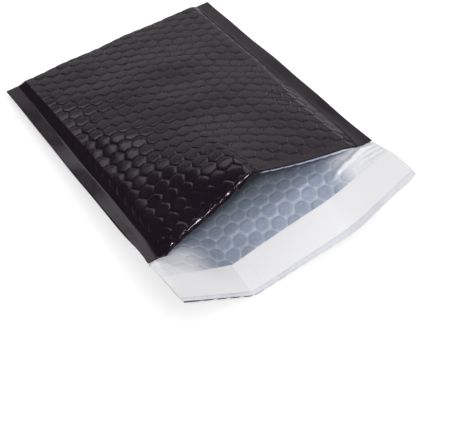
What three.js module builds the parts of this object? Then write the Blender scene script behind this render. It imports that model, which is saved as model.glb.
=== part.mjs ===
// A padded envelope lying on its back panel, open, with its closing flap laid out flat.
// Millimetres, +Z up. X runs across the envelope, and Y from the flap's end to the bottom fold.
// One web of film laminated to a bubble lining is folded at the bottom and sealed along both sides.
// The film stands a little thicker than it is, so that it is a solid with a wall of its own.
import * as THREE from "three";

// The envelope as it was cut, folded and sealed.
const WIDTH = 200;
const POCKET_LENGTH = 250;
const FLAP_LENGTH = 50;
const SEAM_WIDTH = 10;

// The thickness of each layer, and the space that separates two layers.
const FILM = 0.8;
const LINING = 2.8;
const STRIP = 0.5;
const LINER = 0.5;
const SPACE = 0.3;

// The adhesive strip and its liner run across the flap, close to its free end.
const LINER_WIDTH = 26;
const LINER_TO_FLAP_END = 3;
const STRIP_INSET = 3;
const LINER_START = FLAP_LENGTH - LINER_TO_FLAP_END - LINER_WIDTH;

// How the opened envelope lies. Heights are measured from the plane it lies on.
const PAD = FILM + SPACE + LINING + 0.6;
const LEFT_SEAM_LIFT = 21.5;
const RIGHT_SEAM_LIFT = 27.5;
const LEFT_SEAM_PULL = 6;
const RIGHT_SEAM_PULL = 3;
const PANEL_CROWN = 24;
const LIP_CROWN = 29;
const TROUGH_DEPTH = 19;
const FLAP_CORNER_HEIGHT = 31;
const FLAP_BEND_HEIGHT = 10;

// Places across the pocket, as shares of its half width from the middle.
const LIP_PEAK = -0.1;
const TROUGH_LEFT = -0.5;
const TROUGH_RIGHT = -0.4;
const FLAP_BEND = 0.5;
const PAD_SLOPE = 0.1;

// How finely the surfaces are divided. Every layer has the same columns, so that none cuts another.
const POCKET_COLUMNS = 20;
const COLUMNS = POCKET_COLUMNS + 2;
const POCKET_ROWS = 13;
const FOLD_ROWS = 3;
const STRIP_ROWS = [LINER_START + STRIP_INSET, LINER_START + LINER_WIDTH - STRIP_INSET];
const LINER_ROWS = [LINER_START, ...STRIP_ROWS, LINER_START + LINER_WIDTH];
const FLAP_ROWS = [0, 1, 3, ...LINER_ROWS, FLAP_LENGTH];

const { lerp, smoothstep, clamp } = THREE.MathUtils;
const EDGE = 1 + (2 * SEAM_WIDTH) / (WIDTH - 2 * SEAM_WIDTH);

// Share of the way from the bottom fold to the mouth.
const openness = (y) => clamp(1 - y / POCKET_LENGTH, 0, 1);

// A point at height z, u across the pocket: the seams draw in as the mouth opens.
function point(u, y, z) {
  const pull = (u < 0 ? LEFT_SEAM_PULL : RIGHT_SEAM_PULL) * openness(y);
  return [u * (WIDTH / 2 - SEAM_WIDTH - pull), y, z];
}

function seamHeight(u, y) {
  return PAD + openness(y) * lerp(LEFT_SEAM_LIFT, RIGHT_SEAM_LIFT, clamp((u + 1) / 2, 0, 1));
}

// 1 at the peak, falling to 0 at both edges.
function tent(u, peak, leftPower, rightPower, edge) {
  if (Math.abs(u) >= edge) return 0;
  if (u < peak) return 1 - ((peak - u) / (edge + peak)) ** leftPower;
  return 1 - ((u - peak) / (edge - peak)) ** rightPower;
}

// Half the closed thickness: flat at the seams, full a short way in, and round at the fold.
function padHeight(u, y) {
  const full = lerp(FILM, PAD, clamp((1 - Math.abs(u)) / PAD_SLOPE, 0, 1));
  const fold = clamp((POCKET_LENGTH - y) / PAD, 0, 1);
  return lerp(FILM, full, Math.sqrt(1 - (1 - fold) ** 2));
}

function frontPanel(u, y) {
  const open = openness(y);
  const arch = PANEL_CROWN * open ** 0.8 * Math.max(0, 1 - u * u);
  const lip = LIP_CROWN * tent(u, LIP_PEAK, 1.3, 1, 1);
  return seamHeight(u, y) + padHeight(u, y) + lerp(arch, lip, smoothstep(open, 0.6, 1));
}

function sag(u, y, edge) {
  const trough = tent(u, (TROUGH_LEFT + TROUGH_RIGHT) / 2, 1, 0.6, edge);
  return TROUGH_DEPTH * trough * Math.sin((openness(y) * Math.PI) / 2);
}

function backPanel(u, y) {
  return Math.max(0, seamHeight(u, y) - padHeight(u, y) - sag(u, y, 1));
}

// The flap's free end is a shallow trough with one more bend across it.
function flapEnd(u) {
  if (u < TROUGH_LEFT) return (FLAP_CORNER_HEIGHT * (TROUGH_LEFT - u)) / (TROUGH_LEFT + EDGE);
  if (u < TROUGH_RIGHT) return 0;
  if (u < FLAP_BEND) return (FLAP_BEND_HEIGHT * (u - TROUGH_RIGHT)) / (FLAP_BEND - TROUGH_RIGHT);
  return lerp(FLAP_BEND_HEIGHT, FLAP_CORNER_HEIGHT, (u - FLAP_BEND) / (EDGE - FLAP_BEND));
}

// The underside of the flap. Past the seams' ends its edges are as thick as the rest of it.
function flapUnder(u, distance) {
  const start = seamHeight(u, 0) - PAD - sag(u, 0, EDGE);
  return lerp(start, flapEnd(u), distance / FLAP_LENGTH);
}

// Place of a column across the pocket, with the outer edge of a seam at either end.
function columnPlace(i) {
  if (i === 0) return -EDGE;
  if (i === COLUMNS) return EDGE;
  return (2 * (i - 1)) / POCKET_COLUMNS - 1;
}

// Distance of a row from the mouth: rows are close together where the fold is round.
function rowPlace(j, farEnd) {
  const straight = POCKET_ROWS - FOLD_ROWS;
  if (j <= straight) return ((farEnd - PAD) * j) / straight;
  return farEnd - PAD * (1 - Math.sin(((j - straight) * Math.PI) / (2 * FOLD_ROWS)));
}

// Gathers faces, wound so that they point out, and makes them one geometry.
class Faces {
  corners = [];

  triangle(...corners) {
    this.corners.push(...corners.flat());
  }

  quad(a, b, c, d) {
    this.triangle(a, b, c);
    this.triangle(a, c, d);
  }

  // The faces between two rows of points, each given as a function of the column.
  strip(low, high, first, last) {
    for (let i = first; i < last; i++) this.quad(low(i), low(i + 1), high(i + 1), high(i));
  }

  // A face of a layer, given by column and row. Cells are divided alike in every layer, so that
  // layers lie evenly on each other. The side is 1 if X and then Y turn it upwards, and -1 if not.
  sheet(surface, rows, first, last, side) {
    for (let j = 0; j < rows; j++) {
      for (let i = first; i < last; i++) {
        const cell = [surface(i, j), surface(i + 1, j), surface(i + 1, j + 1), surface(i, j + 1)];
        if (i < COLUMNS / 2) cell.push(cell.shift());
        if (side < 0) cell.reverse();
        if (side < 0) cell.push(cell.shift());
        this.quad(...cell);
      }
    }
  }

  geometry() {
    const made = new THREE.BufferGeometry();
    made.setAttribute("position", new THREE.Float32BufferAttribute(this.corners, 3));
    made.computeVertexNormals();
    return made;
  }
}

// A bag whose skins are joined at the fold and the sides. Its cavity is open at the mouth, between
// the margin columns, and its bottom skin carries on as a flap.
function bagGeometry({ margin, top, bottom, ceiling, floor, under, over }) {
  const faces = new Faces();
  const inner = COLUMNS - margin;
  const flapEndRow = FLAP_ROWS.length - 1;
  const row = (surface, j) => (i) => surface(i, j);
  faces.sheet(top, POCKET_ROWS, 0, COLUMNS, 1);
  faces.sheet(bottom, POCKET_ROWS, 0, COLUMNS, -1);
  faces.sheet(ceiling, POCKET_ROWS, margin, inner, -1);
  faces.sheet(floor, POCKET_ROWS, margin, inner, 1);
  faces.sheet(over, flapEndRow, 0, COLUMNS, -1);
  faces.sheet(under, flapEndRow, 0, COLUMNS, 1);
  for (let j = 1; j < POCKET_ROWS; j++) {
    faces.quad(bottom(0, j + 1), bottom(0, j), top(0, j), top(0, j + 1));
    faces.quad(bottom(COLUMNS, j), bottom(COLUMNS, j + 1), top(COLUMNS, j + 1), top(COLUMNS, j));
  }
  for (let k = 0; k < flapEndRow; k++) {
    faces.quad(under(0, k), under(0, k + 1), over(0, k + 1), over(0, k));
    faces.quad(under(COLUMNS, k + 1), under(COLUMNS, k), over(COLUMNS, k), over(COLUMNS, k + 1));
  }
  // The far end, the flap's free end and the rim of the mouth.
  faces.strip(row(top, POCKET_ROWS), row(bottom, POCKET_ROWS), 0, COLUMNS);
  faces.strip(row(under, flapEndRow), row(over, flapEndRow), 0, COLUMNS);
  faces.strip(row(over, 0), row(top, 0), 0, margin);
  faces.strip(row(ceiling, 0), row(top, 0), margin, inner);
  faces.strip(row(over, 0), row(top, 0), inner, COLUMNS);
  // The first stretch of each side, where the flap's upper face meets the seam's end.
  for (const [i, flip] of [[0, false], [COLUMNS, true]]) {
    const side = [bottom(i, 1), bottom(i, 0), over(i, 0), top(i, 0), top(i, 1)];
    if (flip) side.reverse();
    for (let n = 1; n < 4; n++) faces.triangle(side[0], side[n], side[n + 1]);
  }
  return faces.geometry();
}

// One layer of the web, with its outer face this far inside the envelope's. The margin is the
// columns at each side where its two skins are one, and inset is how far it stays off the fold.
function layerGeometry({ depth, thickness, margin, inset, sidePlace }) {
  const [faceEnd, cavityEnd] = [POCKET_LENGTH - inset, POCKET_LENGTH - inset - thickness];
  const closed = (i, j) => i <= margin || i >= COLUMNS - margin || j === POCKET_ROWS;
  const inPocket = (i) => (i < margin || i > COLUMNS - margin ? sidePlace(i) : columnPlace(i));
  const skin = (surface, offset, farEnd) => (i, j) => {
    const [u, y] = [inPocket(i), rowPlace(j, farEnd)];
    return point(u, y, surface(u, y) + offset);
  };
  const cavity = (surface, offset) => (i, j) => {
    const [u, y] = [inPocket(i), rowPlace(j, cavityEnd)];
    return point(u, y, closed(i, j) ? seamHeight(u, y) : surface(u, y) + offset);
  };
  const flap = (atMouth, offset) => (i, k) => {
    if (k === 0) return atMouth(i, 0);
    const u = k === 1 ? inPocket(i) : columnPlace(i);
    return point(u, -FLAP_ROWS[k], flapUnder(u, FLAP_ROWS[k]) + offset);
  };
  const bottom = skin(backPanel, depth, faceEnd);
  const floor = cavity(backPanel, depth + thickness);
  return bagGeometry({
    margin,
    top: skin(frontPanel, -depth, faceEnd),
    bottom,
    ceiling: cavity(frontPanel, -depth - thickness),
    floor,
    under: flap(bottom, depth),
    over: flap(floor, depth + thickness),
  });
}

// The black outer film: its skins meet at the seams, which are flat and solid out to the edge.
function outerFilm() {
  return layerGeometry({ depth: 0, thickness: FILM, margin: 1, inset: 0, sidePlace: columnPlace });
}

// The bubble lining: it stops just short of the seams, and is full width on the flap.
function bubbleLining() {
  const sideShare = [0.5, 0.8];
  const sidePlace = (i) => {
    const share = sideShare[Math.min(i, COLUMNS - i)];
    return Math.sign(i - COLUMNS / 2) * (1 - PAD_SLOPE * share);
  };
  return layerGeometry({ depth: FILM + SPACE, thickness: LINING, margin: 2, inset: 3, sidePlace });
}

// A strip that runs across the flap between two of its rows, and follows all its bends.
function stripGeometry(height, thickness, distances) {
  const faces = new Faces();
  const last = distances.length - 1;
  const surface = (offset) => (i, k) => {
    const u = columnPlace(i);
    return point(u, -distances[k], flapUnder(u, distances[k]) + height + offset);
  };
  const [low, high] = [surface(0), surface(thickness)];
  faces.sheet(high, last, 0, COLUMNS, -1);
  faces.sheet(low, last, 0, COLUMNS, 1);
  faces.strip((i) => low(i, last), (i) => high(i, last), 0, COLUMNS);
  faces.strip((i) => high(i, 0), (i) => low(i, 0), 0, COLUMNS);
  for (let k = 0; k < last; k++) {
    faces.quad(low(0, k), low(0, k + 1), high(0, k + 1), high(0, k));
    faces.quad(low(COLUMNS, k + 1), low(COLUMNS, k), high(COLUMNS, k), high(COLUMNS, k + 1));
  }
  return faces.geometry();
}

const FLAP_TOP = FILM + SPACE + LINING;

function adhesiveStrip() {
  return stripGeometry(FLAP_TOP + SPACE, STRIP, STRIP_ROWS);
}

function releaseLiner() {
  return stripGeometry(FLAP_TOP + SPACE + STRIP + SPACE, LINER, LINER_ROWS);
}

function piece(name, geometry, color, roughness, metalness) {
  const mesh = new THREE.Mesh(geometry, new THREE.MeshStandardMaterial({ color, roughness, metalness }));
  mesh.name = name;
  return mesh;
}

const envelope = new THREE.Group();
envelope.add(piece("outer_film", outerFilm(), 0x1b181b, 0.35, 0.2));
envelope.add(piece("bubble_lining", bubbleLining(), 0x98a2b0, 0.4, 0.5));
envelope.add(piece("adhesive_strip", adhesiveStrip(), 0xdad8cc, 0.5, 0));
envelope.add(piece("release_liner", releaseLiner(), 0xe8e6ea, 0.6, 0));

// The origin is under the middle of the envelope, on the plane it lies on.
const bounds = new THREE.Box3().setFromObject(envelope);
const middle = bounds.getCenter(new THREE.Vector3());
for (const mesh of envelope.children) mesh.position.set(-middle.x, -middle.y, -bounds.min.z);

export default envelope;
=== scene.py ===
"""A black padded envelope, lying open, with the flap and its release liner laid out in front.

Metres, +Z up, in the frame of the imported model: X runs across the envelope, the mouth is near
the viewer at -Y, and the bottom fold is at +Y.
"""

import bpy
import numpy as np
from mathutils import Matrix, Vector


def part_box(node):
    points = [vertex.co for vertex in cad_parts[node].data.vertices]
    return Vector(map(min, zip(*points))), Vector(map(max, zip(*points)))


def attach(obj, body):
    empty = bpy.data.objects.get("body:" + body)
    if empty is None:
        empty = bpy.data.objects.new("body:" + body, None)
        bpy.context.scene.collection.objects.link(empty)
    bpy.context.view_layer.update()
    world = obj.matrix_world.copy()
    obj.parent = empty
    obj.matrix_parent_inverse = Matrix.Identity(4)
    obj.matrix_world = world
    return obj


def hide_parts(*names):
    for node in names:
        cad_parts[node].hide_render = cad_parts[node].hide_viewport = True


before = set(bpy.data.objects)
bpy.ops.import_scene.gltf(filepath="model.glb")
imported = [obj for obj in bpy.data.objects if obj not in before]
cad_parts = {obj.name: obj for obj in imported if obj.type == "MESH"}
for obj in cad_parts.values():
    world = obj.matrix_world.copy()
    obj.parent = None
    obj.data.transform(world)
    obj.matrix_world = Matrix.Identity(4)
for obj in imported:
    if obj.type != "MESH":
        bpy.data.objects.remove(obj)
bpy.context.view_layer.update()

# 1. The front panel's film.
# A web of black film is laminated to the flat side of a bubble lining, folded at the bottom and
# sealed along both sides. The film is drawn in between the bubbles, so each one shows as a pillow.

MM = 0.001
film_low, film_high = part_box("outer_film")
HALF_WIDTH = (film_high.x - film_low.x) / 2
MIDDLE_X = (film_high.x + film_low.x) / 2
POCKET_LENGTH = 250 * MM
MOUTH_Y = film_high.y - POCKET_LENGTH
FLAP_LENGTH = MOUTH_Y - film_low.y
SEAM_WIDTH = 10 * MM
POCKET_HALF_WIDTH = HALF_WIDTH - SEAM_WIDTH

# Half the closed pocket's thickness: where it is full, at the mouth, and in the seams.
PAD = 4.5 * MM
LIP_PAD = 3.2 * MM
SEALED = 0.4 * MM
# How far in from a seam the padding is full, and how much farther by the mouth on the right.
PAD_RISE = 8.5 * MM
PULLED_RISE = 7 * MM

# How far the open mouth lifts each seam, draws it in, and lifts the front panel between them.
LEFT_LIFT, RIGHT_LIFT = 21.5 * MM, 27.5 * MM
LEFT_PULL, RIGHT_PULL = 6 * MM, 3 * MM
ARCH_LIFT = 24 * MM
LIP_LIFT = 32.5 * MM
LIP_PEAK = -8 * MM


def fade(value, start, end):
    """0 before start, 1 after end, and smooth between them."""
    share = np.clip((value - start) / (end - start), 0, 1)
    return share * share * (3 - 2 * share)


def bend(value, softness):
    """0 below zero and the value itself above it, with a soft bend between the two."""
    return (value + np.sqrt(value * value + softness * softness)) / 2


def openness(along):
    """Share of the way from the bottom fold to the mouth."""
    return np.clip(1 - along / POCKET_LENGTH, 0, 1)


def seam_height(across, along):
    """Height of both seams, and of a line between them: they rise towards the mouth."""
    share = np.clip(across / POCKET_HALF_WIDTH / 2 + 0.5, 0, 1)
    return PAD + openness(along) * (LEFT_LIFT + (RIGHT_LIFT - LEFT_LIFT) * share)


def tent(across, peak, left_power, right_power, soft):
    """1 at the peak, falling to 0 at both seams. The peak is rounded over the length of soft."""
    from_peak = np.sqrt((across - peak) ** 2 + soft * soft) - soft
    to_edge = np.where(across < peak, POCKET_HALF_WIDTH + peak, POCKET_HALF_WIDTH - peak)
    power = np.where(across < peak, left_power, right_power)
    return 1 - np.clip(from_peak / to_edge, 0, 1) ** power


def pocket_x(across, along):
    """Where a point of the web lies across the envelope: the seams draw in towards the mouth."""
    pull = np.where(across < 0, LEFT_PULL, RIGHT_PULL) * openness(along)
    return MIDDLE_X + across * (1 - pull / POCKET_HALF_WIDTH)


def pad_half(across, along, full):
    """Half the closed pocket's thickness: flat in the seams, full a little way in from them."""
    length = PAD_RISE + PULLED_RISE * fade(across, 0, 80 * MM) * fade(along, 150 * MM, 60 * MM)
    rise = fade(POCKET_HALF_WIDTH - np.abs(across), 0, length)
    to_fold = np.clip((POCKET_LENGTH - along) / PAD, 0, 1)
    return (SEALED + (full - SEALED) * rise) * np.sqrt(1 - (1 - to_fold) ** 2)


def front_height(across, along):
    """Height of the front panel's outer face, over the bubbles."""
    opened = openness(along)
    share = across / POCKET_HALF_WIDTH
    arch = ARCH_LIFT * opened ** 0.8 * np.clip(1 - share * share, 0, 1)
    lip = LIP_LIFT * tent(across, LIP_PEAK, 0.93, 0.76, 3 * MM)
    near_lip = fade(opened, 0.6, 1)
    crown = arch * (1 - near_lip) + lip * near_lip
    full = PAD + (LIP_PAD - PAD) * fade(along, 25 * MM, 0)
    return seam_height(across, along) + pad_half(across, along, full) + crown


def places(*stops):
    """Places along a line, given as start, then (end, step) for each stretch of it."""
    found = [np.array([stops[0]])]
    for end, step in stops[1:]:
        start = found[-1][-1]
        count = max(1, round(abs(end - start) / step))
        found.append(np.linspace(start, end, count + 1)[1:])
    return np.concatenate(found)


def fold_rows(start):
    """Rows from start to the fold, close together where the web turns over."""
    straight = places(start, (POCKET_LENGTH - PAD, 0.85 * MM))
    turn = np.sin(np.linspace(0, np.pi / 2, 10)[1:])
    return np.concatenate([straight, POCKET_LENGTH - PAD + PAD * turn])


# The bubbles stand in columns, and every other column is half a pitch farther along. Each has
# its own luck, four numbers from 0 to 1, which starts again after so many columns and rows.
BUBBLE_PITCH = 12.1 * MM
BUBBLE_COLUMN = BUBBLE_PITCH * 3 ** 0.5 / 2
LATTICE_SHIFT = (4 * MM, -2.6 * MM)
LUCK_CELLS = 64
bubble_luck = np.random.default_rng(12).random((LUCK_CELLS, LUCK_CELLS, 4))


def bubbles(across, along):
    """For each point of the web: offset from the nearest bubble's middle, and its luck."""
    u, v = across - LATTICE_SHIFT[0], along - LATTICE_SHIFT[1]
    best = None
    for half in (0, 1):
        column = 2 * np.round((u / BUBBLE_COLUMN - half) / 2) + half
        row = np.round(v / BUBBLE_PITCH - half / 2) + half / 2
        du, dv = u - column * BUBBLE_COLUMN, v - row * BUBBLE_PITCH
        luck = bubble_luck[column.astype(int) % LUCK_CELLS, (2 * row).astype(int) % LUCK_CELLS]
        found = np.concatenate([du[..., None], dv[..., None], luck], -1)
        if best is None:
            best = found
        else:
            nearer = du ** 2 + dv ** 2 < best[..., 0] ** 2 + best[..., 1] ** 2
            best = np.where(nearer[..., None], found, best)
    return best[..., 0], best[..., 1], np.moveaxis(best[..., 2:], -1, 0)


def reach(du, dv, roundness):
    """0 in the middle of a bubble and about 1 on the line that it shares with the next one. Its
    level lines are six-sided at roundness 0 and circles at roundness 1."""
    slant, half = du * np.sqrt(3) / 2, dv / 2
    hexagon = (dv ** 8 + (slant + half) ** 8 + (slant - half) ** 8) ** 0.125
    circle = np.hypot(du, dv) * 0.96
    return (hexagon * (1 - roundness) + circle * roundness) / (BUBBLE_PITCH / 2)


RIPPLE_WAVES = 7


def ripples(across, along, length, seed):
    """Soft random dents about this long, and mostly between -1 and 1."""
    luck = np.random.default_rng(seed)
    total = np.zeros_like(across)
    for angle in luck.random(RIPPLE_WAVES) * np.pi:
        wave = length * (0.7 + 0.7 * luck.random())
        shift = luck.random() * 2 * np.pi
        total += np.sin((across * np.cos(angle) + along * np.sin(angle)) * 2 * np.pi / wave + shift)
    return total / RIPPLE_WAVES ** 0.5


def facing(points):
    """Unit normals of a grid of points: upwards where columns run right and rows run back."""
    rows, columns = np.gradient(points, axis=0), np.gradient(points, axis=1)
    normals = np.cross(columns, rows)
    return normals / np.maximum(np.linalg.norm(normals, axis=-1, keepdims=True), 1e-12)


def web_piece(name, shown, hidden, across, along, material, node, upwards=True, coarse=12):
    """A closed piece of the web: a fine face that shows, and a coarse one that backs it, which is
    less coarse near the mouth and the seams, where the web bends most."""
    rows, columns = shown.shape[:2]
    number = np.arange(rows * columns).reshape(rows, columns)
    by_mouth = np.flatnonzero(np.abs(along[:, 0]) < 6 * MM)
    row_stops = sorted({*range(0, rows, coarse), *by_mouth, rows - 1})
    from_seam = np.abs(np.abs(across[-1]) - POCKET_HALF_WIDTH)
    column_stops = sorted({*range(0, columns, coarse), *np.flatnonzero(from_seam < 2.2 * MM),
                           *np.flatnonzero(from_seam < PAD_RISE)[::2], columns - 1})
    kept = np.zeros((rows, columns), bool)
    kept[[0, -1], :] = kept[:, [0, -1]] = True
    kept[np.ix_(row_stops, column_stops)] = True
    backing = np.full((rows, columns), -1)
    backing[kept] = rows * columns + np.arange(kept.sum())

    fine = np.stack([number[:-1, :-1], number[:-1, 1:], number[1:, 1:], number[1:, :-1]], -1)
    faces = fine.reshape(-1, 4).tolist()
    for top, bottom in zip(row_stops, row_stops[1:]):
        for left, right in zip(column_stops, column_stops[1:]):
            ring = [(top, c) for c in range(left, right)]
            ring += [(r, right) for r in range(top, bottom)]
            ring += [(bottom, c) for c in range(right, left, -1)]
            ring += [(r, left) for r in range(bottom, top, -1)]
            faces.append([int(backing[at]) for at in ring if kept[at]][::-1])
    rim = [(0, c) for c in range(columns - 1)] + [(r, columns - 1) for r in range(rows - 1)]
    rim += [(rows - 1, c) for c in range(columns - 1, 0, -1)] + [(r, 0) for r in range(rows - 1, 0, -1)]
    for a, b in zip(rim, rim[1:] + rim[:1]):
        faces.append([int(number[b]), int(number[a]), int(backing[a]), int(backing[b])])
    if not upwards:
        faces = [face[::-1] for face in faces]

    mesh = bpy.data.meshes.new(name)
    points = np.concatenate([shown.reshape(-1, 3), hidden[kept]])
    mesh.from_pydata(points.tolist(), [], faces)
    cut = np.stack([across, along], -1)
    cut = np.concatenate([cut.reshape(-1, 2), cut[kept]])
    corners = np.empty(len(mesh.loops), np.int32)
    mesh.loops.foreach_get("vertex_index", corners)
    mesh.uv_layers.new(name="cut").data.foreach_set("uv", cut[corners].astype(np.float32).ravel())
    mesh.shade_smooth()
    mesh.set_sharp_from_angle(angle=1.2)
    mesh.materials.append(material)
    piece = bpy.data.objects.new(name, mesh)
    bpy.context.collection.objects.link(piece)
    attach(piece, "root")
    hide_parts(node)
    return piece


def shader_group(name, inputs, outputs):
    """An empty node group with these float or vector inputs and float outputs."""
    group = bpy.data.node_groups.new(name, "ShaderNodeTree")
    for label, kind, value in inputs:
        socket = group.interface.new_socket(label, in_out="INPUT", socket_type=kind)
        if value is not None:
            socket.default_value = value
    for label in outputs:
        group.interface.new_socket(label, in_out="OUTPUT", socket_type="NodeSocketFloat")
    return group, group.nodes.new("NodeGroupInput"), group.nodes.new("NodeGroupOutput")


def connect(tree, node, links):
    """Link or set a node's inputs, each given as (input, output or value)."""
    for socket, source in links:
        if isinstance(source, bpy.types.NodeSocket):
            tree.links.new(source, node.inputs[socket])
        else:
            node.inputs[socket].default_value = source


def add(tree, kind, links=(), **settings):
    """A node with its settings, and with its inputs linked or set."""
    node = tree.nodes.new(kind)
    for key, value in settings.items():
        setattr(node, key, value)
    connect(tree, node, links)
    return node


def calculate(tree, operation, *values):
    """What a Math node makes of these values or outputs."""
    return add(tree, "ShaderNodeMath", enumerate(values), operation=operation).outputs[0]


def graded(tree, value, span, result=(0.0, 1.0), smooth=True):
    """The value mapped from a span to a result, which is a mask from 0 to 1 if not given."""
    return add(tree, "ShaderNodeMapRange",
               [("Value", value), ("From Min", span[0]), ("From Max", span[1]),
                ("To Min", result[0]), ("To Max", result[1])],
               interpolation_type="SMOOTHSTEP" if smooth else "LINEAR").outputs["Result"]


def mixed(tree, share, first, second):
    """A mix of two colours, each a colour or another mix, with this share of the second."""
    return add(tree, "ShaderNodeMix", [("Factor", share), ("A", first), ("B", second)],
               data_type="RGBA").outputs["Result"]


def finish(name):
    """A new material: itself, its node tree, its shader, and the place on the cut web."""
    material = bpy.data.materials.new(name)
    material.use_nodes = True
    tree = material.node_tree
    cut = add(tree, "ShaderNodeUVMap", uv_map="cut").outputs["UV"]
    return material, tree, tree.nodes["Principled BSDF"], cut


def cut_axes(tree, cut):
    """Places on the cut web: across it, from its middle line to either side, and along it."""
    axes = add(tree, "ShaderNodeSeparateXYZ", [(0, cut)]).outputs
    return axes["X"], calculate(tree, "ABSOLUTE", axes["X"]), axes["Y"]


# Fine creases in a thin film: long soft pulls, and a short crinkle on top of them.
creases, creases_in, creases_out = shader_group(
    "film_creases",
    [("Cut", "NodeSocketVector", None), ("Crinkle Size", "NodeSocketFloat", 3 * MM),
     ("Crinkle", "NodeSocketFloat", 0.5)],
    ["Height", "Patches"])
crinkle_scale = calculate(creases, "DIVIDE", 1.0, creases_in.outputs["Crinkle Size"])
crinkle = add(creases, "ShaderNodeTexNoise",
              [("Vector", creases_in.outputs["Cut"]), ("Scale", crinkle_scale),
               ("Detail", 3.0), ("Roughness", 0.55), ("Distortion", 0.6)]).outputs["Fac"]
pulls = add(creases, "ShaderNodeTexNoise",
            [("Vector", creases_in.outputs["Cut"]), ("Scale", 45.0), ("Detail", 2.0),
             ("Distortion", 1.2)]).outputs["Fac"]
crinkled = calculate(creases, "MULTIPLY", crinkle, creases_in.outputs["Crinkle"])
connect(creases, creases_out, [("Height", calculate(creases, "ADD", crinkled, pulls)),
                               ("Patches", pulls)])

# Where the bubbles are on the cut web: the distance from the nearest one's middle, both plain
# and measured to the flat sides of its six-sided cell.
bubble_place, place_in, place_out = shader_group(
    "bubble_place", [("Cut", "NodeSocketVector", None)], ["Round", "Six Sided"])
nearest = {}
for shift in (Vector((*LATTICE_SHIFT, 0)),
              Vector((LATTICE_SHIFT[0] + BUBBLE_COLUMN, LATTICE_SHIFT[1] + BUBBLE_PITCH / 2, 0))):
    moved = add(bubble_place, "ShaderNodeVectorMath", [(0, place_in.outputs["Cut"]), (1, shift)],
                operation="SUBTRACT")
    wrapped = add(bubble_place, "ShaderNodeVectorMath",
                  [(0, moved.outputs[0]), (1, Vector((BUBBLE_COLUMN, BUBBLE_PITCH / 2, 1))),
                   (2, Vector((-BUBBLE_COLUMN, -BUBBLE_PITCH / 2, -1)))], operation="WRAP")
    distance = add(bubble_place, "ShaderNodeVectorMath", [(0, wrapped.outputs[0])],
                   operation="LENGTH").outputs["Value"]
    one_quarter = add(bubble_place, "ShaderNodeVectorMath", [(0, wrapped.outputs[0])],
                      operation="ABSOLUTE").outputs[0]
    slanted = add(bubble_place, "ShaderNodeVectorMath",
                  [(0, one_quarter), (1, Vector((3 ** 0.5 / 2, 0.5, 0)))],
                  operation="DOT_PRODUCT").outputs["Value"]
    upright = add(bubble_place, "ShaderNodeSeparateXYZ", [(0, one_quarter)]).outputs["Y"]
    to_side = calculate(bubble_place, "MAXIMUM", slanted, upright)
    for label, found in (("Round", distance), ("Six Sided", to_side)):
        if label in nearest:
            found = calculate(bubble_place, "MINIMUM", nearest[label], found)
        nearest[label] = found
connect(bubble_place, place_out, nearest.items())

FILM_DARK, FILM_LIGHT = (0.008, 0.004, 0.0078, 1), (0.012, 0.006, 0.012, 1)
FILM_ROUGHNESS = (0.14, 0.2)
FILM_TINT = (1.0, 0.94, 1.0, 1)
LINE_WIDTH = 1.3 * MM
LINE_DEPTH = 0.45 * MM

film, tree, film_shader, cut = finish("black_film")
film_creases = add(tree, "ShaderNodeGroup",
                   [("Cut", cut), ("Crinkle Size", 4 * MM), ("Crinkle", 0.25)],
                   node_tree=creases).outputs
film_bump = add(tree, "ShaderNodeBump", [("Height", film_creases["Height"]), ("Strength", 0.2),
                                         ("Distance", 0.4 * MM)])
# Taut film is drawn into a narrow line between two bubbles, but not in the seams, and not where
# it is slack by the lip on the left.
film_bubbles = add(tree, "ShaderNodeGroup", [("Cut", cut)], node_tree=bubble_place).outputs
on_line = graded(tree, film_bubbles["Six Sided"], (BUBBLE_PITCH / 2 - LINE_WIDTH, BUBBLE_PITCH / 2))
cut_x, cut_side, cut_y = cut_axes(tree, cut)
taut = calculate(tree, "MAXIMUM", graded(tree, cut_x, (-45 * MM, 5 * MM)),
                 graded(tree, cut_y, (15 * MM, 90 * MM)))
on_pad = calculate(tree, "MULTIPLY", graded(tree, cut_side, (84 * MM, 76 * MM)),
                   graded(tree, cut_y, (1 * MM, 8 * MM)))
line_share = calculate(tree, "MULTIPLY", taut, on_pad)
film_lines = add(tree, "ShaderNodeBump",
                 [("Height", calculate(tree, "MULTIPLY", on_line, line_share)), ("Strength", 1.0),
                  ("Distance", LINE_DEPTH), ("Normal", film_bump.outputs["Normal"])], invert=True)
connect(tree, film_shader, [
    ("Base Color", mixed(tree, film_creases["Patches"], FILM_DARK, FILM_LIGHT)),
    ("Roughness", graded(tree, film_creases["Patches"], (0.3, 0.7), FILM_ROUGHNESS, smooth=False)),
    ("Normal", film_lines.outputs["Normal"]), ("IOR", 1.52), ("Specular IOR Level", 0.3),
    ("Specular Tint", FILM_TINT)])

# The rows and columns are close together where the relief is steep and the camera near.
columns = places(-HALF_WIDTH, (-POCKET_HALF_WIDTH, 1.6 * MM), (-POCKET_HALF_WIDTH + 5 * MM, 0.5 * MM),
                 (5 * MM, 0.65 * MM), (POCKET_HALF_WIDTH - 5 * MM, 0.9 * MM),
                 (POCKET_HALF_WIDTH, 0.5 * MM), (HALF_WIDTH, 1.6 * MM))
rows = np.concatenate([places(0, (3 * MM, 0.4 * MM), (110 * MM, 0.65 * MM))[:-1],
                       fold_rows(110 * MM)])
across, along = np.meshgrid(columns, rows)


def seam_wave(across, along):
    """The seams are a little uneven along their length, and each in its own way."""
    in_seam = fade(np.abs(across), POCKET_HALF_WIDTH - 12 * MM, HALF_WIDTH)
    side = np.where(across < 0, 0.0, 1.7)
    short = 0.35 * MM * np.sin(along / (11 * MM) + side)
    long = 0.6 * MM * np.sin(along / (27 * MM) + 2 * side)
    return in_seam * (short + long)


BUBBLE_TILT = 0.03
BUBBLE_LIMP = 0.12 * MM
DENT_SIDES, DENT_MIDDLE = 0.8 * MM, 0.9 * MM


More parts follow.
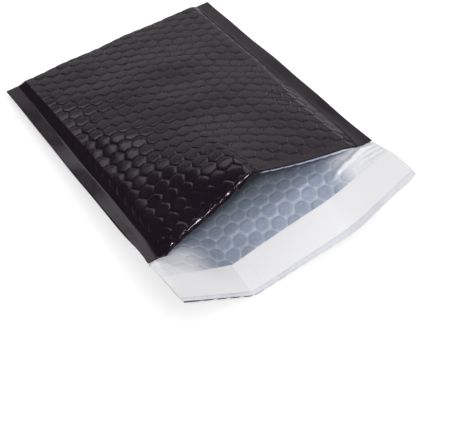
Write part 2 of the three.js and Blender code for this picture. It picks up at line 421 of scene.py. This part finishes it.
def relief(across, along, height, depth, slack, crushed=0.0, rim=0.7):
    """How far the film lies below the bubbles' tops. Taut film is drawn into narrow valleys, and
    slack film leaves round bubbles, whose sides start at the rim. Some crushed bubbles are dented
    in the middle. It all flattens out towards the seams and where the height is small."""
    du, dv, luck = bubbles(across, along)
    taut_drop = np.clip(reach(du, dv, 0.0), 0, 1.1) ** 3.6
    slack_drop = fade(reach(du, dv, 0.9), rim, 1.06)
    drop = depth * (taut_drop + (slack_drop - taut_drop) * slack)
    tilt = BUBBLE_TILT * ((luck[0] - 0.5) * du + (luck[1] - 0.5) * dv)
    limp = BUBBLE_LIMP * (luck[2] - 0.5)
    dent = DENT_SIDES * slack_drop + DENT_MIDDLE * fade(reach(du, dv, 1.0), 0.62, 0.1)
    dent = dent * crushed * fade(luck[3], 0.45, 0.6)
    room = np.clip((height - SEALED) / (2.4 * MM), 0, 1)
    room = room * fade(np.abs(across), POCKET_HALF_WIDTH - 1 * MM, POCKET_HALF_WIDTH - 8 * MM)
    return room * (drop + dent + tilt + limp)


# How deep the valleys between the bubbles are, how deep the panel's wide dents are, and how far
# the film's hidden face lies below the shown one, at most and at least.
TAUT_DEPTH, SLACK_DEPTH = 0.34 * MM, 0.28 * MM
PANEL_DENT = 0.5 * MM
FILM_DEPTH, LEAST_DEPTH = 1.5 * MM, 0.05 * MM

front_z = front_height(across, along) + seam_wave(across, along)
off_seams = fade(np.abs(across), 88 * MM, 70 * MM)
front_z += PANEL_DENT * ripples(across, along, 60 * MM, 3) * off_seams
front_face = np.stack([pocket_x(across, along), MOUTH_Y + along, front_z], -1)
front_half = front_z - seam_height(across, along) - seam_wave(across, along)
# Towards the lip the film is slack on the left, with crushed bubbles, and on the right it is
# pressed flat.
slack = fade(along, 120 * MM, 0) * fade(across, 10 * MM, -50 * MM)
crushed = fade(along, 16 * MM, 5 * MM) * fade(across, -8 * MM, -22 * MM)
front_relief = relief(across, along, front_half, TAUT_DEPTH + (SLACK_DEPTH - TAUT_DEPTH) * slack,
                      slack, crushed, rim=0.82)
front_relief *= 1 - fade(along, 10 * MM, 2 * MM) * fade(across, -4 * MM, 12 * MM)
front_relief *= 1 - 0.8 * fade(along, 4.5 * MM, 0)
front_shown = front_face - facing(front_face) * front_relief[..., None]
front_hidden = front_face.copy()
front_hidden[..., 2] -= np.clip(front_half / 2, LEAST_DEPTH, FILM_DEPTH)

# At the lip the film rolls over the cut edge of the padding. Its outline is in Y and Z from the
# lip's top edge, and goes from the tuck under the padding, up the front and back to the top. The
# roll is thick on the left and thin on the right. The crumpling leaves its two ends in place.
CRUMPLE = 0.19 * MM
lip, lip_across = front_shown[0], across[0]
outline = np.array([(1.4, -3.9), (0, -3.95), (-1.3, -3.9), (-2.2, -3.6), (-2.6, -3.1), (-2.5, -2.85),
                    (-2.1, -2.1), (-1.7, -1.4), (-1.45, -0.95), (-1.3, -0.74), (-0.9, -0.45),
                    (-0.5, -0.19), (-0.3, -0.08)]) * MM
stretch = np.minimum(0.16 + 0.84 * fade(lip_across, 8 * MM, -14 * MM), front_half[0] / (4.2 * MM))
steps = np.hypot(*np.diff(outline[::-1], axis=0).T)
hem_along = -np.concatenate([[0], np.cumsum(steps)])[::-1, None] * stretch - 0.2 * MM
hem_across = np.broadcast_to(lip_across, hem_along.shape)
crumple = CRUMPLE * stretch * ripples(hem_across, hem_along, 6 * MM, 9)
crumple[[0, 1, 2, -1]] = 0
hem_shown = np.stack([np.broadcast_to(lip[:, 0], hem_along.shape),
                      lip[:, 1] + outline[:, :1] * stretch - 0.7 * crumple,
                      lip[:, 2] + outline[:, 1:] * stretch + 0.7 * crumple], -1)
core = np.stack([lip[:, 0], lip[:, 1] + 0.2 * MM, lip[:, 2] - 2 * MM * stretch], -1)
hem_hidden = hem_shown * 0.3 + core * 0.7
hem_hidden[0] = hem_shown[0]
hem_hidden[0, :, 2] += 0.8 * MM * stretch
front_shown = np.concatenate([hem_shown, front_shown])
front_hidden = np.concatenate([hem_hidden, front_hidden])
along = np.concatenate([hem_along, along])
across = np.concatenate([hem_across, across])
front_film = web_piece("front_film", front_shown, front_hidden, across, along, film,
                       "outer_film")

# 2. The back panel's film.
# The same web runs under the pocket and out past the mouth as the flap. It is what the envelope
# lies on, and its edges end in the same seams.


def flap_end_height(across):
    """Height of the flap's free end above the floor. From a narrow flat trough it rises steeply
    to the left, and to the right gently at first and then more."""
    left = 0.63 * bend(-44 * MM - across, 1.5 * MM)
    right = 0.13 * bend(across + 34 * MM, 1.5 * MM)
    far_right = 0.36 * bend(across - 45 * MM, 5 * MM)
    return left + right + far_right


SAG = 19 * MM
SAG_LOWEST = -40.5 * MM
FLAP_BOW = 3 * MM


def sag(across, soft=5 * MM):
    """How far the back panel hangs below the seams at the mouth."""
    return SAG * tent(across, SAG_LOWEST, 1, 0.62, soft)


def flap_height(across, before):
    """Height of the flap's underside, this far before the mouth."""
    start = seam_height(across, 0 * across) - PAD - sag(across)
    share = np.clip(before / FLAP_LENGTH, 0, 1)
    bow = FLAP_BOW * np.sin(share * np.pi) * fade(across, 40 * MM, HALF_WIDTH)
    return start + (flap_end_height(across) - start) * share + bow


def back_height(across, along):
    """Height of the pocket's underside, under the bubbles. Its trough is sharp at the mouth."""
    half = pad_half(across, along, PAD)
    softened = 5 * MM + 22 * MM * fade(along, 0, 45 * MM)
    hang = sag(across, softened) * np.sin(openness(along) * np.pi / 2)
    return bend(seam_height(across, along) - half - hang, 0.4 * MM)


def web_low(across, along):
    """Height of the underside of the web, along the pocket and the flap."""
    flap = flap_height(across, np.clip(-along, 0, FLAP_LENGTH))
    by_seam = fade(np.abs(across), POCKET_HALF_WIDTH - 14 * MM, POCKET_HALF_WIDTH - PAD_RISE)
    start, end = -12 * MM * (1 - by_seam), 22 * MM - 15 * MM * by_seam
    return flap + (back_height(across, along) - flap) * fade(along, start, end)


# The web is this thick over its bubbles, and pressed flat along the flap's cut edges. In the
# pocket, the linings of its two panels stay a little way apart.
WEB = 3.9 * MM
CUT_EDGE = 0.9 * MM
EDGE_RISE = 3 * MM
LINING_GAP = 0.03 * MM
THINNEST = 0.1 * MM


def web_thickness(across, along):
    """Thickness of the film and its lining together, along the pocket and the flap."""
    to_side = np.clip((HALF_WIDTH - np.abs(across)) / EDGE_RISE, 0, 1)
    to_end = np.clip((along + FLAP_LENGTH) / EDGE_RISE, 0, 1)
    edge = np.sqrt(1 - (1 - np.minimum(to_side, to_end)) ** 2)
    flap = CUT_EDGE + (WEB - CUT_EDGE) * edge
    room = seam_height(across, along) - web_low(across, along) - LINING_GAP
    blend = flap + (np.minimum(WEB, room) - flap) * fade(along, 0, 7 * MM)
    return np.maximum(np.where(along > 0, np.minimum(blend, room), blend), THINNEST)


def web_top(across, along):
    """Height of the lining's upper face, along the pocket and the flap."""
    thickness = np.where(along < 0, WEB, web_thickness(across, along))
    return web_low(across, along) + thickness


END_BULGE = 2.4 * MM


def end_bulge(across, along):
    """How far the flap's end stretches past its straight cut: most near the right corner."""
    wave = 0.75 + 0.25 * np.sin(across / (9 * MM)) * np.sin(across / (23 * MM) + 1)
    corner = 1 - 0.6 * fade(across, HALF_WIDTH - 7 * MM, HALF_WIDTH)
    at_end = fade(along, -FLAP_LENGTH + EDGE_RISE, -FLAP_LENGTH)
    return END_BULGE * wave * corner * fade(across, -10 * MM, 70 * MM) * at_end


# On the flap the film ends a little short of the lining, at the end and at both sides.
END_SHORT, SIDE_SHORT = 1.5 * MM, 1.8 * MM
rows = np.concatenate([places(-FLAP_LENGTH + END_SHORT, (-FLAP_LENGTH + EDGE_RISE, 0.5 * MM),
                              (0, 1 * MM))[:-1], fold_rows(0)])
columns = places(-HALF_WIDTH, (-HALF_WIDTH + EDGE_RISE, 0.6 * MM), (-POCKET_HALF_WIDTH, 1.2 * MM),
                 (-POCKET_HALF_WIDTH + 5 * MM, 0.6 * MM), (POCKET_HALF_WIDTH - 5 * MM, 0.9 * MM),
                 (POCKET_HALF_WIDTH, 0.6 * MM), (HALF_WIDTH - EDGE_RISE, 1.2 * MM),
                 (HALF_WIDTH, 0.6 * MM))
across, along = np.meshgrid(columns, rows)
across = across * (1 - SIDE_SHORT / HALF_WIDTH * fade(along, 4 * MM, 0))
top_z, thickness = web_top(across, along), web_thickness(across, along)
wave = seam_wave(across, along) * fade(along, 0, 20 * MM)
under_face = np.stack([pocket_x(across, along), MOUTH_Y + along - end_bulge(across, along),
                       top_z - thickness + wave], -1)
under_relief = relief(across, along, thickness, depth=0.8 * MM, slack=0.2)
under_shown = under_face + facing(under_face) * under_relief[..., None]
under_hidden = under_face.copy()
under_hidden[..., 2] += np.minimum(FILM_DEPTH, thickness / 2)
back_film = web_piece("back_film", under_shown, under_hidden, across, along, film,
                      "outer_film", upwards=False)

# 3. The bubble lining.
# Silver-blue polyethylene with its bubbles towards the goods. It is welded to the film in the
# seams, and on the flap it runs out to the cut edges.

SILVER_DARK, SILVER_LIGHT = (0.32, 0.375, 0.48, 1), (0.46, 0.525, 0.66, 1)
SILVER_RIM = (0.41, 0.465, 0.57, 1)
# Painted highlight for the flat film between the bubbles.
SILVER_BETWEEN_HIGHLIGHT = (0.68, 0.74, 0.84, 1)
# Painted shade for the lining deep in the pocket.
SILVER_PAINTED_SHADE = (0.16, 0.165, 0.165, 1)
# Milky white of pressed lining, and at the mouth's corners partly a painted highlight.
SILVER_MILKY_AND_GLARE = (0.85, 0.85, 0.885, 1)
SILVER_ROUGHNESS = (0.24, 0.38)
SILVER_SHEEN = 0.3

lining, tree, lining_shader, cut = finish("silver_lining")
lining_creases = add(tree, "ShaderNodeGroup",
                     [("Cut", cut), ("Crinkle Size", 3 * MM), ("Crinkle", 0.6)],
                     node_tree=creases).outputs
lining_bump = add(tree, "ShaderNodeBump", [("Height", lining_creases["Height"]), ("Strength", 0.6),
                                           ("Distance", 0.8 * MM)])
lining_paint = mixed(tree, lining_creases["Patches"], SILVER_DARK, SILVER_LIGHT)
# The rims of the bubbles have one even colour, and the flat film between them is painted palest, in
# patches: a painted highlight for the bright rims of the translucent bubbles.
lining_bubbles = add(tree, "ShaderNodeGroup", [("Cut", cut)], node_tree=bubble_place).outputs
rim = graded(tree, lining_bubbles["Round"], (3.6 * MM, 5 * MM))
lining_paint = mixed(tree, rim, lining_paint, SILVER_RIM)
between_highlight = graded(tree, lining_bubbles["Round"], (5.3 * MM, 6.1 * MM))
patchy_highlight = calculate(tree, "MULTIPLY", between_highlight, lining_creases["Patches"])
lining_paint = mixed(tree, patchy_highlight, lining_paint, SILVER_BETWEEN_HIGHLIGHT)
# Deeper in the pocket the lining is painted darker: painted shade, where the front panel shades it.
cut_side, cut_y = cut_axes(tree, cut)[1:]
deep_painted_shade = graded(tree, cut_y, (2 * MM, 45 * MM), (0.0, 0.85))
lining_paint = mixed(tree, deep_painted_shade, lining_paint, SILVER_PAINTED_SHADE)
# At both sides of the mouth and along the flap's end the bubbles are pressed flat, and milky. At both
# sides of the mouth the pale colour is also partly a painted highlight, for the glare on the pressed and
# folded lining.
in_corner_milk_and_glare = calculate(tree, "MULTIPLY", graded(tree, cut_side, (50 * MM, 76 * MM)),
                      graded(tree, cut_y, (16 * MM, -4 * MM)))
at_end = graded(tree, cut_y, (-42 * MM, -46 * MM), (0.0, 0.86), smooth=False)
milky_and_glare = calculate(tree, "MULTIPLY", calculate(tree, "MAXIMUM", at_end, in_corner_milk_and_glare), 0.94)
connect(tree, lining_shader, [
    ("Base Color", mixed(tree, milky_and_glare, lining_paint, SILVER_MILKY_AND_GLARE)),
    ("Roughness", graded(tree, lining_creases["Patches"], (0.3, 0.7), SILVER_ROUGHNESS, smooth=False)),
    ("Metallic", graded(tree, milky_and_glare, (0.0, 1.0), (SILVER_SHEEN, 0.0), smooth=False)),
    ("Normal", lining_bump.outputs["Normal"])])

# The lining starts this far below the web's outer face. It is cut short of both sides, and right
# of the middle it peeks out from under the lip.
LINING_START = 1.7 * MM
LINING_EDGE = 97 * MM
PEEK = 0.9 * MM

columns = places(-LINING_EDGE, (-POCKET_HALF_WIDTH, 1.6 * MM), (POCKET_HALF_WIDTH, 1.0 * MM),
                 (LINING_EDGE, 1.6 * MM))
rows = fold_rows(1.0 * MM)
across, along = np.meshgrid(columns, rows)
peek = fade(across, 22 * MM, 42 * MM) * fade(across, 84 * MM, 70 * MM)
along = along - PEEK * peek * fade(along, 6 * MM, 1 * MM)
front_z = front_height(across, along) + seam_wave(across, along)
half = front_z - seam_height(across, along) - seam_wave(across, along)
inner_face = np.stack([pocket_x(across, along), MOUTH_Y + along,
                       front_z - np.minimum(WEB, half - LINING_GAP)], -1)
inner_relief = relief(across, along, half - 1.5 * MM, depth=0.8 * MM, slack=1.0)
inner_shown = inner_face + facing(inner_face) * inner_relief[..., None]
outer_face = np.stack([pocket_x(across, along), MOUTH_Y + along, front_z], -1)
inner_hidden = outer_face - facing(outer_face) * np.minimum(LINING_START, half * 0.55)[..., None]
front_lining = web_piece("front_lining", inner_shown, inner_hidden, across, along, lining,
                         "bubble_lining", upwards=False)

# In the pocket the back lining stays inside the seams, and it ends just before the fold.
rows = np.concatenate([places(-FLAP_LENGTH, (-FLAP_LENGTH + EDGE_RISE, 0.5 * MM), (0, 0.9 * MM))[:-1],
                       fold_rows(0)[:-4]])
columns = places(-HALF_WIDTH, (-POCKET_HALF_WIDTH, 1.2 * MM), (POCKET_HALF_WIDTH, 0.9 * MM),
                 (HALF_WIDTH, 1.2 * MM))
across, along = np.meshgrid(columns, rows)
across = across * (1 - (HALF_WIDTH - LINING_EDGE) / HALF_WIDTH * fade(along, 0, 4 * MM))
top_z, thickness = web_top(across, along), web_thickness(across, along)
wave = seam_wave(across, along) * fade(along, 0, 20 * MM)
floor_face = np.stack([pocket_x(across, along), MOUTH_Y + along - end_bulge(across, along),
                       top_z + wave], -1)
# The bubbles are pressed flat under the liner, and nearly so at both sides of the mouth.
FLAT_DEPTH, ROUND_DEPTH = 0.12 * MM, 0.48 * MM
in_corners = fade(np.abs(across), 55 * MM, 78 * MM) * fade(along, 10 * MM, -2 * MM)
roundness = fade(along, -26 * MM, -18 * MM) * (1 - 0.85 * in_corners)
floor_relief = relief(across, along, thickness - 1.2 * MM,
                      depth=FLAT_DEPTH + (ROUND_DEPTH - FLAT_DEPTH) * roundness, slack=1.0)

# A pull across the right corner of the mouth lifts a fold in the lining, with ripples beside it.
# The fold goes 36 mm to the right and 7.5 mm back. The run is the share of the way along it, and
# aside is the distance from its crest, which wavers a little.
FOLD_START = (54 * MM, -10 * MM)
FOLD_RIGHT, FOLD_BACK = 36 * MM, 7.5 * MM
FOLD_LENGTH = 36.8 * MM
FOLD_HEIGHT = 1.7 * MM
FRONT_SLOPE, BACK_SLOPE = 1.3 * MM, 3.4 * MM
RIPPLE_X = 90 * MM
RIPPLE_LENGTH = 5 * MM
RIPPLE_HEIGHT = 0.4 * MM
right, back = across - FOLD_START[0], along - FOLD_START[1]
run = (right * FOLD_RIGHT + back * FOLD_BACK) / FOLD_LENGTH ** 2
aside = (back * FOLD_RIGHT - right * FOLD_BACK) / FOLD_LENGTH
aside += 0.9 * MM * np.sin(run * 17) * np.sin(run * 7 + 1)
fold = FOLD_HEIGHT * np.exp(-(aside / np.where(aside < 0, FRONT_SLOPE, BACK_SLOPE)) ** 2)
fold *= fade(run, -0.1, 0.3) * fade(run, 1.15, 0.9)
ripple = RIPPLE_HEIGHT * np.sin(along * 2 * np.pi / RIPPLE_LENGTH + across / RIPPLE_LENGTH)
ripple *= np.exp(-((across - RIPPLE_X) / (9 * MM)) ** 2)
ripple *= fade(along, -26 * MM, -20 * MM) * fade(along, 2 * MM, -3 * MM)
floor_relief = floor_relief - fold - ripple
floor_shown = floor_face - facing(floor_face) * floor_relief[..., None]
floor_hidden = floor_face.copy()
floor_hidden[..., 2] -= np.maximum(thickness - LINING_START, 0.42 * thickness)
back_lining = web_piece("back_lining", floor_shown, floor_hidden, across, along, lining,
                        "bubble_lining")

# 4. The adhesive strip.
# Hot-melt adhesive, coated across the flap close to its free end. The release liner hides all of
# it but its two ends.

ADHESIVE_DARK, ADHESIVE_LIGHT = (0.62, 0.58, 0.45, 1), (0.72, 0.69, 0.57, 1)

adhesive, tree, adhesive_shader, cut = finish("adhesive")
coating = add(tree, "ShaderNodeTexNoise",
              [("Vector", cut), ("Scale", 350.0), ("Detail", 3.0)]).outputs["Fac"]
adhesive_bump = add(tree, "ShaderNodeBump", [("Height", coating), ("Strength", 0.4),
                                             ("Distance", 0.3 * MM)])
connect(tree, adhesive_shader, [
    ("Base Color", mixed(tree, coating, ADHESIVE_DARK, ADHESIVE_LIGHT)), ("Roughness", 0.4),
    ("Normal", adhesive_bump.outputs["Normal"])])

LINER_OUTER = -FLAP_LENGTH + 3 * MM
LINER_WIDTH = 26 * MM
STRIP_INSET = 3 * MM
STRIP_THICKNESS = 0.35 * MM
STRIP_GAP = 0.1 * MM

# The creases are on both sides of the flap's trough.
CREASES = (-44 * MM, -33.5 * MM)
CREASE_DEPTH = 0.35 * MM


def across_flap(start, end, step, lift, thickness):
    """Both faces of a strip that runs across the flap and follows its bends and its creases."""
    across, along = np.meshgrid(places(-HALF_WIDTH, (HALF_WIDTH, step)), places(start, (end, step)))
    height = web_top(across, along) + lift
    for crease in CREASES:
        height -= CREASE_DEPTH * np.exp(-((across - crease) / (1 * MM)) ** 2)
    under = np.stack([pocket_x(across, along), MOUTH_Y + along, height], -1)
    return across, along, under, under + np.array([0, 0, thickness])


across, along, strip_under, strip_over = across_flap(
    LINER_OUTER + STRIP_INSET, LINER_OUTER + LINER_WIDTH - STRIP_INSET, 1.5 * MM,
    STRIP_GAP, STRIP_THICKNESS)
web_piece("adhesive_coating", strip_over, strip_under, across, along, adhesive,
          "adhesive_strip", coarse=1)

# 5. The release liner.
# Siliconed white paper over the adhesive, 26 mm wide, stuck down so that it bends with the flap.
# It has a crease on each side of the flap's trough.

PAPER_DARK, PAPER_LIGHT = (0.84, 0.835, 0.85, 1), (0.9, 0.895, 0.91, 1)
PAPER_THICKNESS = 0.25 * MM

liner_paper, tree, liner_shader, cut = finish("liner_paper")
fibres = add(tree, "ShaderNodeTexNoise",
             [("Vector", cut), ("Scale", 900.0), ("Detail", 4.0)]).outputs["Fac"]
liner_bump = add(tree, "ShaderNodeBump", [("Height", fibres), ("Strength", 0.2),
                                          ("Distance", 0.1 * MM)])
connect(tree, liner_shader, [
    ("Base Color", mixed(tree, fibres, PAPER_DARK, PAPER_LIGHT)), ("Roughness", 0.55),
    ("Normal", liner_bump.outputs["Normal"])])

across, along, liner_under, liner_over = across_flap(
    LINER_OUTER, LINER_OUTER + LINER_WIDTH, 0.6 * MM,
    STRIP_GAP + STRIP_THICKNESS + STRIP_GAP, PAPER_THICKNESS)
release_liner = web_piece("liner_paper", liner_over, liner_under, across, along, liner_paper,
                          "release_liner", coarse=2)

# 6. The floor, the light and the camera.
# A plain white floor that keeps the shadow, large soft lights overhead, behind and in front, a
# small hard one for the lip's highlights, and the photograph's viewing angle.

FLOOR_HALF = 6
FLOOR_GAP = 0.2 * MM
floor_mesh = bpy.data.meshes.new("floor")
floor_mesh.from_pydata([(-FLOOR_HALF, -FLOOR_HALF, 0), (FLOOR_HALF, -FLOOR_HALF, 0),
                        (FLOOR_HALF, FLOOR_HALF, 0), (-FLOOR_HALF, FLOOR_HALF, 0)],
                       [], [(0, 1, 2, 3)])
floor = bpy.data.objects.new("floor", floor_mesh)
floor.location.z = -FLOOR_GAP
bpy.context.collection.objects.link(floor)
floor_paint = bpy.data.materials.new("floor_paint")
floor_paint.use_nodes = True
tree = floor_paint.node_tree
# Only the camera sees its glow. It grows away from the envelope, where the lamps reach less.
rays = add(tree, "ShaderNodeLightPath")
floor_place = add(tree, "ShaderNodeTexCoord")
from_middle = add(tree, "ShaderNodeVectorMath", [(0, floor_place.outputs["Object"])], operation="LENGTH")
glow = graded(tree, from_middle.outputs["Value"], (0.3, 1.2), (0.5, 1.0))
connect(tree, tree.nodes["Principled BSDF"], [
    ("Base Color", (0.7, 0.7, 0.7, 1)), ("Roughness", 1.0), ("Specular IOR Level", 0.0),
    ("Emission Color", (1, 1, 1, 1)),
    ("Emission Strength", calculate(tree, "MULTIPLY", rays.outputs["Is Camera Ray"], glow))])
floor_mesh.materials.append(floor_paint)

world = bpy.data.worlds.new("studio")
bpy.context.scene.world = world
world.use_nodes = True
tree = world.node_tree
# White to the camera, and a dim light to everything else.
rays = add(tree, "ShaderNodeLightPath")
sky = graded(tree, rays.outputs["Is Camera Ray"], (0.0, 1.0), (0.12, 1.0), smooth=False)
connect(tree, tree.nodes["Background"], [("Color", (1, 1, 1, 1)), ("Strength", sky)])


def soft_light(name, place, width, height, brightness):
    """A flat soft light at a place, turned to the envelope. Its brightness is seen in gloss."""
    lamp = bpy.data.lights.new(name, "AREA")
    lamp.shape, lamp.size, lamp.size_y = "RECTANGLE", width, height
    lamp.energy = brightness * np.pi * width * height
    light = bpy.data.objects.new(name, lamp)
    bpy.context.collection.objects.link(light)
    light.location = place
    light.rotation_euler = (-Vector(place)).to_track_quat("-Z", "Y").to_euler()


soft_light("ceiling", (0.35, -0.35, 1.6), width=1.6, height=1.6, brightness=0.45)
soft_light("high_back", (0.6, 0.98, 1.33), width=2.7, height=0.6, brightness=1.9)
soft_light("back", (0.82, 1.16, 0.56), width=2.7, height=0.74, brightness=0.6)
soft_light("front", (0.5, -1.05, 1.15), width=1.6, height=1.4, brightness=1.35)
soft_light("key", (-0.53, -0.9, 1.2), width=0.2, height=0.2, brightness=84)

# The photograph's own viewing angle. Its width and its focal length are in pixels.
PHOTO_WIDTH = 472
FOCAL_LENGTH = 973.44
CAMERA_PLACE = (-0.22328, -0.49987, 0.55107)
DOWN, ROLL, TURN = np.radians([49.94, 6.81, 26.60])

camera_data = bpy.data.cameras.new("camera")
camera_data.sensor_width = 36
camera_data.lens = camera_data.sensor_width * FOCAL_LENGTH / PHOTO_WIDTH
camera_data.clip_start, camera_data.clip_end = 0.01, 50
camera = bpy.data.objects.new("camera", camera_data)
bpy.context.collection.objects.link(camera)
forward = Vector((np.sin(TURN) * np.cos(DOWN), np.cos(TURN) * np.cos(DOWN), -np.sin(DOWN)))
level_right = Vector((np.cos(TURN), -np.sin(TURN), 0))
level_down = forward.cross(level_right)
right = level_right * np.cos(ROLL) + level_down * np.sin(ROLL)
down = level_down * np.cos(ROLL) - level_right * np.sin(ROLL)
turn = Matrix((right, -down, -forward)).transposed().to_4x4()
camera.matrix_world = Matrix.Translation(CAMERA_PLACE) @ turn
bpy.context.scene.camera = camera

bpy.context.scene.view_settings.view_transform = "Standard"
